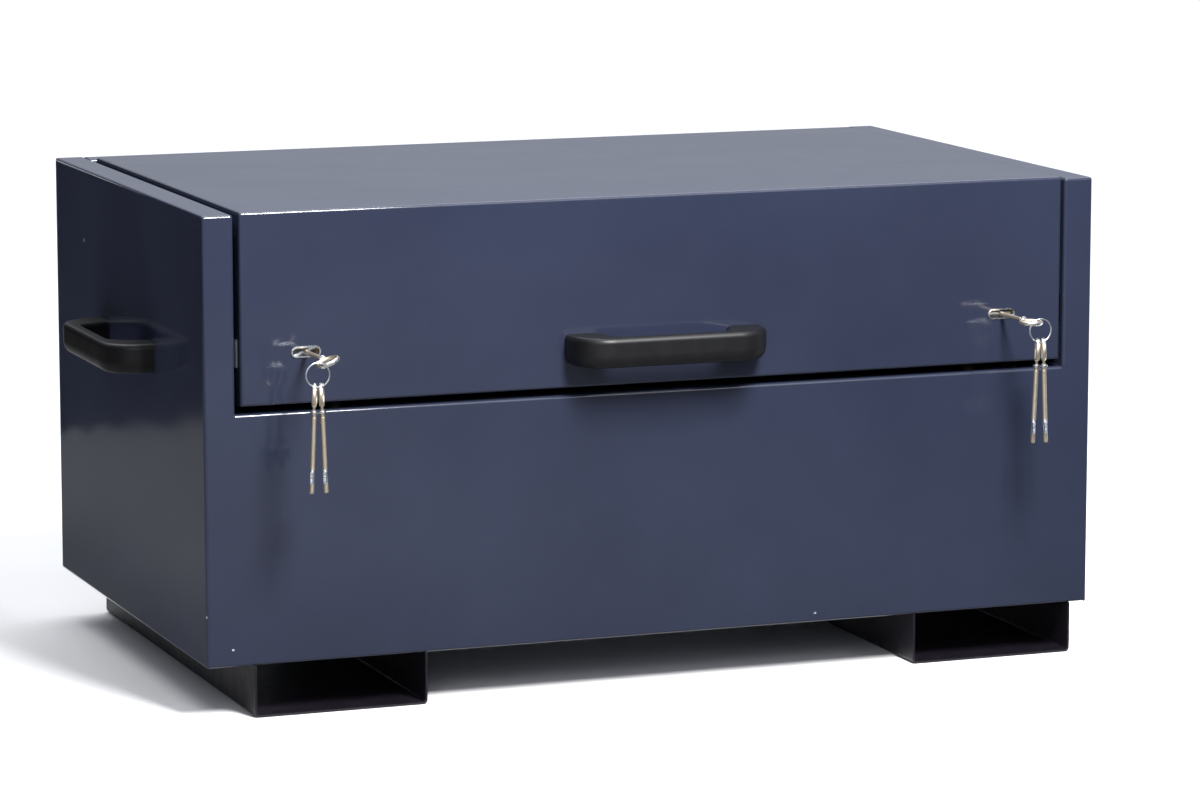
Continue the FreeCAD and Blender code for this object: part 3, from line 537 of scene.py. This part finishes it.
def eased(nodeName, edge):
    packed = frame["nodes"][nodeName]
    piece = bpy.data.objects.new(nodeName + "_eased", packed.data.copy())
    scene.collection.objects.link(piece)
    startEditing(piece)
    bpy.ops.mesh.select_all(action="SELECT")
    bpy.ops.mesh.remove_doubles(threshold=easing["weld"])
    bpy.ops.mesh.dissolve_limited(angle_limit=math.radians(easing["flat"]))
    sharp = math.radians(easing["sharp"])
    pick(piece, "edges", lambda e: e.is_convex and e.calc_face_angle(0) > sharp)
    bpy.ops.mesh.bevel(offset=edge, segments=easing["segments"], affect="EDGES",
                       miter_outer="ARC", clamp_overlap=True)
    stopEditing()
    smoothed(piece, easing["smooth"])
    return piece


easedEdges = {
    "body_paint": 0.0006, "skid_paint": 0.0006, "hardened_steel": 0.0004, "plated_steel": 0.0003,
    "lever_brass": 0.0002, "rubber_stop": 0.0008, "strut_black": 0.0004, "chrome_rim": 0.0003,
}
remodelled = ["lid_handle"]
pairedPieces = ("side_handle", "escutcheon", "key", "key_ring", "spare_key_a", "spare_key_b")
for end, _ in ends:
    remodelled += [end + "_" + name for name in pairedPieces]


def easeTheRest():
    slots = {part["node"]: part["material_slot"] for part in frame["record"]["subparts"]}
    count = 0
    for bodyName, members in frame["record"]["behaviour"]["bodies"].items():
        for nodeName in members:
            if nodeName in remodelled:
                continue
            slotName = slots[nodeName]
            fitted(eased(nodeName, easedEdges[slotName]), slotName, bodyName, nodeName)
            count += 1
    return count


print("sheets and fittings eased:", easeTheRest())


# moulded bow handles

bowHandle = {
    "length": 0.264, "reach": 0.060, "height": 0.038, "bar": 0.020, "leg": 0.046, "taper": 0.014,
    "corner": 0.048, "cornerSteps": 20, "throat": 0.011, "throatSteps": 8,
    "topRoll": (0.0060, 0.0070), "lowRoll": (0.0094, 0.0160), "rollSteps": 8,  # inwards, upwards
    "runBack": 0.014, "face": -0.300, "level": 0.439, "cellSlack": 0.001, "flat": 1, "smooth": 40,
    "sideWall": 0.600, "sideMiddle": 0.053, "sideLevel": 0.421,
}


def mouldHandle():
    # a plain U with its legs run back past the wall, cut off at the wall at the end
    b = bowHandle
    half, high = b["length"] / 2, b["height"] / 2
    top, foot = b["level"] + high - b["topRoll"][1], b["level"] - high + b["lowRoll"][1]
    front, back = b["face"] - b["reach"], b["face"] + b["runBack"]
    inner = front + b["bar"]
    throat = half - b["leg"] - b["taper"]
    splay = b["taper"] / (b["face"] - inner) * (back - inner)
    bpy.ops.mesh.primitive_cube_add(
        size=1, location=(0, (front + back) / 2, (top + foot) / 2),
        scale=(b["length"], back - front, top - foot))
    handle = newPiece("lid_handle_moulded")
    startEditing(handle)
    cuts = [((throat, 0, 0), (1, 0, 0)), ((-throat, 0, 0), (1, 0, 0)), ((0, inner, 0), (0, 1, 0))]
    for place, across in cuts:
        bpy.ops.mesh.select_all(action="SELECT")
        bpy.ops.mesh.bisect(plane_co=place, plane_no=across)
    # the grip opening: the cells between the legs come out and the walls are bridged
    slack = b["cellSlack"]
    pick(handle, "faces", lambda f: abs(f.calc_center_median().x) < throat - slack
         and f.calc_center_median().y > inner + slack)
    bpy.ops.mesh.delete(type="FACE")
    pick(handle, "edges", lambda e: e.is_boundary and (onPlane(e, 2, top) or onPlane(e, 2, foot)))
    bpy.ops.mesh.bridge_edge_loops()
    for hand in (-1, 1):
        pick(handle, "verts", lambda v: near(v.co.x, hand * throat) and near(v.co.y, back))
        bpy.ops.transform.translate(value=(hand * splay, 0, 0))
    bpy.ops.mesh.select_all(action="SELECT")
    bpy.ops.mesh.dissolve_limited(angle_limit=math.radians(b["flat"]))
    corners = [(half, front, b["corner"], b["cornerSteps"]),
               (throat, inner, b["throat"], b["throatSteps"])]
    for reach, place, radius, steps in corners:
        pick(handle, "edges", lambda e: onPlane(e, 1, place)
             and (onPlane(e, 0, reach) or onPlane(e, 0, -reach)))
        bpy.ops.mesh.bevel(offset=radius, segments=steps, affect="EDGES")
    # top and bottom are rolled over in quarter rounds, flatter ones below
    for up, (roll, rise) in ((1, b["topRoll"]), (-1, b["lowRoll"])):
        pick(handle, "faces", lambda f: f.normal.z * up > squarely)
        for n in range(b["rollSteps"]):
            before, after = (math.radians(90 / b["rollSteps"] * step) for step in (n, n + 1))
            inwards = roll * (math.cos(before) - math.cos(after))
            upwards = rise * (math.sin(after) - math.sin(before))
            bpy.ops.mesh.inset(thickness=inwards, depth=upwards, use_even_offset=True)
    bpy.ops.mesh.select_all(action="SELECT")
    bpy.ops.mesh.bisect(plane_co=(0, b["face"], 0), plane_no=(0, 1, 0),
                        use_fill=True, clear_outer=True)
    bpy.ops.mesh.select_all(action="SELECT")
    bpy.ops.mesh.normals_make_consistent(inside=False)
    stopEditing()
    smoothed(handle, b["smooth"])
    return handle


def turnedToTheSide(hand):
    b = bowHandle
    place = Matrix.Translation((hand * b["sideWall"], b["sideMiddle"], b["sideLevel"]))
    place = place @ Matrix.Rotation(math.radians(hand * 90), 4, "Z")
    return place @ Matrix.Translation((0, -b["face"], -b["level"]))


lidHandle = mouldHandle()
for end, hand in ends:
    sideHandle = copyOf(lidHandle, end + "_side_handle_moulded", turnedToTheSide(hand))
    fitted(sideHandle, "handle_plastic", "carcass", end + "_side_handle")
fitted(lidHandle, "handle_plastic", "lid", "lid_handle")
print("handles moulded: 3")


# keyhole rims

keyholeRim = {
    "width": 0.035, "height": 0.010, "rim": 0.0018, "frontRound": 0.0006, "frontSteps": 3,
    "sides": 32, "smooth": 40, "proud": 0.0008, "face": -0.300, "skin": -0.2975,
    "across": 0.470, "level": 0.454,
}


def rimPiece():
    k = keyholeRim
    outerRadius = k["height"] / 2 + k["rim"]
    reach = (k["width"] - k["height"]) / 2
    front, back = k["face"] - k["proud"], k["skin"]
    bpy.ops.mesh.primitive_cylinder_add(
        vertices=k["sides"], radius=outerRadius, depth=back - front,
        location=(0, (front + back) / 2, 0), rotation=(math.pi / 2, 0, math.pi / k["sides"]))
    rim = newPiece("keyhole_rim")
    startEditing(rim)
    for hand in (-1, 1):
        pick(rim, "verts", lambda v: v.co.x * hand > 0)
        bpy.ops.transform.translate(value=(hand * reach, 0, 0))
    pick(rim, "faces", lambda f: abs(f.normal.y) > squarely)
    bpy.ops.mesh.inset(thickness=k["rim"], use_even_offset=True)
    bpy.ops.mesh.bridge_edge_loops()
    pick(rim, "edges", lambda e: onPlane(e, 1, front))
    bpy.ops.mesh.bevel(offset=k["frontRound"], segments=k["frontSteps"], affect="EDGES")
    stopEditing()
    smoothed(rim, k["smooth"])
    return rim


plainRim = rimPiece()
for end, hand in ends:
    place = Matrix.Translation((hand * keyholeRim["across"], 0, keyholeRim["level"]))
    fitted(copyOf(plainRim, end + "_keyhole_rim", place), "chrome_rim", "lid", end + "_escutcheon")
bpy.data.objects.remove(plainRim)
print("keyhole rims: 2")


# keys: turned shank, ring bow, web and double bits, laid flat along Y with the bow at the origin

keySizes = {
    "bow": 0.0135, "rimWide": 0.00175, "rimHigh": 0.00275, "rimSides": 12, "bowSides": 48,
    "webWide": 0.0050, "webStart": 0.0285, "webEnd": 0.0352, "webHigh": 0.0014,
    "webTaper": 0.62, "webRound": 0.0006, "webSteps": 2, "shankSides": 20,
    # how far along the key, and the radius there
    "turned": [(0.0340, 0.0029), (0.0350, 0.0029), (0.0353, 0.0047), (0.0357, 0.0050),
               (0.0375, 0.0050), (0.0379, 0.0047), (0.0380, 0.0030), (0.0410, 0.0030),
               (0.0414, 0.0026), (0.0424, 0.0026), (0.0428, 0.0030), (0.1065, 0.0030),
               (0.1067, 0.0029), (0.1230, 0.0029), (0.1232, 0.0030), (0.1350, 0.0030),
               (0.1360, 0.0020)],
    "bitStart": 0.108, "bitLength": 0.014, "bitReach": 0.015, "bitThick": 0.003,
    "steps": [1.0, 0.7, 0.86, 0.66, 1.0],  # how far each step reaches, as a share
    "weld": 0.000005, "smooth": 36,
    "across": 0.470, "level": 0.454, "bowEnd": -0.403, "leftTurn": 20.0, "rightTurn": 0.0,
    "spareTurn": 69.0, "spareSplay": 2.3, "spareOffset": 0.004, "spareGap": 0.0009,
}


def turnedShank():
    stations = keySizes["turned"]
    place, radius = stations[0]
    bpy.ops.mesh.primitive_circle_add(
        vertices=keySizes["shankSides"], radius=radius, fill_type="NGON",
        location=(0, place, 0), rotation=(math.pi / 2, 0, 0))
    shank = newPiece("key_shank")
    startEditing(shank)
    bpy.ops.mesh.select_all(action="SELECT")
    for station, wide in stations[1:]:
        growth = wide / radius
        bpy.ops.mesh.extrude_region_move(TRANSFORM_OT_translate={"value": (0, station - place, 0)})
        bpy.ops.transform.resize(value=(growth, 1, growth), center_override=(0, station, 0))
        place, radius = station, wide
    bpy.ops.mesh.select_all(action="SELECT")
    bpy.ops.mesh.normals_make_consistent(inside=False)
    stopEditing()
    return shank


def bowRing():
    k = keySizes
    bpy.ops.mesh.primitive_torus_add(
        major_segments=k["bowSides"], minor_segments=k["rimSides"],
        major_radius=k["bow"], minor_radius=k["rimWide"],
        location=(0, k["bow"] + k["rimWide"], 0))
    ring = bpy.context.active_object
    ring.scale.z = k["rimHigh"] / k["rimWide"]
    return newPiece("key_bow")


def bowWeb():
    k = keySizes
    bpy.ops.mesh.primitive_cube_add(
        size=1, location=(0, (k["webStart"] + k["webEnd"]) / 2, 0),
        scale=(2 * k["webWide"], k["webEnd"] - k["webStart"], 2 * k["webHigh"]))
    web = newPiece("key_web")
    startEditing(web)
    pick(web, "faces", lambda f: f.normal.y > squarely)
    bpy.ops.transform.resize(value=(k["webTaper"], 1, 1), center_override=(0, k["webEnd"], 0))
    pick(web, "edges", lambda e: not (onPlane(e, 1, k["webStart"]) or onPlane(e, 1, k["webEnd"])))
    bpy.ops.mesh.bevel(offset=k["webRound"], segments=k["webSteps"], affect="EDGES")
    stopEditing()
    return web


def doubleBits():
    k = keySizes
    run = k["bitLength"] / len(k["steps"])
    bpy.ops.mesh.primitive_cube_add(
        size=1, location=(0, k["bitStart"] + k["bitLength"] / 2, 0),
        scale=(2 * k["bitReach"], k["bitLength"], k["bitThick"]))
    bits = newPiece("key_bits")
    startEditing(bits)
    for n in range(1, len(k["steps"])):
        bpy.ops.mesh.select_all(action="SELECT")
        bpy.ops.mesh.bisect(plane_co=(0, k["bitStart"] + n * run, 0), plane_no=(0, 1, 0))
    for n, share in enumerate(k["steps"]):
        if share == 1.0:
            continue
        middle = k["bitStart"] + (n + 0.5) * run
        for hand in (-1, 1):
            pick(bits, "faces", lambda f: f.normal.x * hand > squarely
                 and near(f.calc_center_median().y, middle, run / 2))
            bpy.ops.mesh.extrude_region_move(
                TRANSFORM_OT_translate={"value": (hand * (share - 1) * k["bitReach"], 0, 0)})
    bpy.ops.mesh.select_all(action="SELECT")
    bpy.ops.mesh.remove_doubles(threshold=k["weld"])
    stopEditing()
    return bits


plainKey = joinedPieces("plain_key", turnedShank(), bowRing(), bowWeb(), doubleBits())
smoothed(plainKey, keySizes["smooth"])
alongKey = plainKey.data.attributes.new("alongKey", "FLOAT", "POINT")
for vertex in plainKey.data.vertices:
    alongKey.data[vertex.index].value = vertex.co.y

keyRingSizes = {
    "radius": 0.015, "wide": 0.0008, "thick": 0.00045, "wireSides": 10,
    "pitch": 0.00094, "turns": 2, "steps": 56, "smooth": 40,
    "stopGap": 0.0003, "wire": 0.001, "endsAt": 2.2,  # radians about Y
}


def splitRing():
    r = keyRingSizes
    bpy.ops.mesh.primitive_circle_add(
        vertices=r["wireSides"], radius=r["wide"], fill_type="NOTHING",
        location=(r["radius"], 0, 0))
    ring = newPiece("split_ring")
    startEditing(ring)
    bpy.ops.mesh.select_all(action="SELECT")
    bpy.ops.transform.resize(value=(1, r["thick"] / r["wide"], 1),
                             center_override=(r["radius"], 0, 0))
    stopEditing()
    applied(ring, "SCREW", axis="Y", angle=math.radians(360), iterations=r["turns"],
            screw_offset=r["pitch"], steps=r["steps"], render_steps=r["steps"],
            use_merge_vertices=False)
    startEditing(ring)
    pick(ring, "edges", lambda e: e.is_boundary)
    bpy.ops.mesh.edge_face_add()
    bpy.ops.mesh.select_all(action="SELECT")
    bpy.ops.transform.translate(value=(0, -r["pitch"] * r["turns"] / 2, 0))
    bpy.ops.mesh.normals_make_consistent(inside=False)
    stopEditing()
    smoothed(ring, r["smooth"])
    return ring


plainRing = splitRing()


def hangKeys(end, hand, turnDegrees):
    k, r = keySizes, keyRingSizes
    turn = math.radians(turnDegrees)
    place = Matrix.Translation((hand * k["across"], 0, k["level"]))
    place = place @ Matrix.Rotation(turn * hand, 4, "Y")
    place = place @ Matrix.Translation((0, k["bowEnd"], 0))
    own = copyOf(plainKey, end + "_key_cut", place)
    fitted(own, "key_metal", end + "_key", end + "_key")
    # the ring hangs from the outer side of the bow
    hang = Vector((hand * (k["across"] + k["bow"] * math.cos(turn)),
                   k["bowEnd"] + k["bow"] + k["rimWide"],
                   k["level"] - k["bow"] * math.sin(turn)))
    centre = hang - Vector((0, 0, r["radius"] - r["wire"] - k["rimHigh"] - r["stopGap"]))
    place = Matrix.Translation(centre) @ Matrix.Rotation(r["endsAt"], 4, "Y")
    ring = copyOf(plainRing, end + "_split_ring", place)
    fitted(ring, "plated_steel", end + "_key_ring", end + "_key_ring")
    # the spare keys hang side by side in the ring, edge-on
    hole = k["bow"] - k["rimWide"] - r["wire"] - k["spareGap"]
    for letter, side in (("a", -1), ("b", 1)):
        offset = side * k["spareOffset"]
        wire = centre + Vector((offset, 0, -math.sqrt(r["radius"] ** 2 - offset ** 2)))
        place = Matrix.Translation(wire)
        place = place @ Matrix.Rotation(math.radians(-side * k["spareSplay"]), 4, "Y")
        place = place @ Matrix.Translation((0, 0, -hole))
        place = place @ Matrix.Rotation(math.radians(k["spareTurn"]), 4, "Z")
        place = place @ Matrix.Rotation(math.radians(-90), 4, "X")
        place = place @ Matrix.Translation((0, -k["bow"] - k["rimWide"], 0))
        name = end + "_spare_key_" + letter
        fitted(copyOf(plainKey, name + "_cut", place), "key_metal", name, name)


hangKeys("left", -1, keySizes["leftTurn"])
hangKeys("right", 1, keySizes["rightTurn"])
bpy.data.objects.remove(plainKey)
bpy.data.objects.remove(plainRing)
print("keys cut: 6, rings wound: 2")
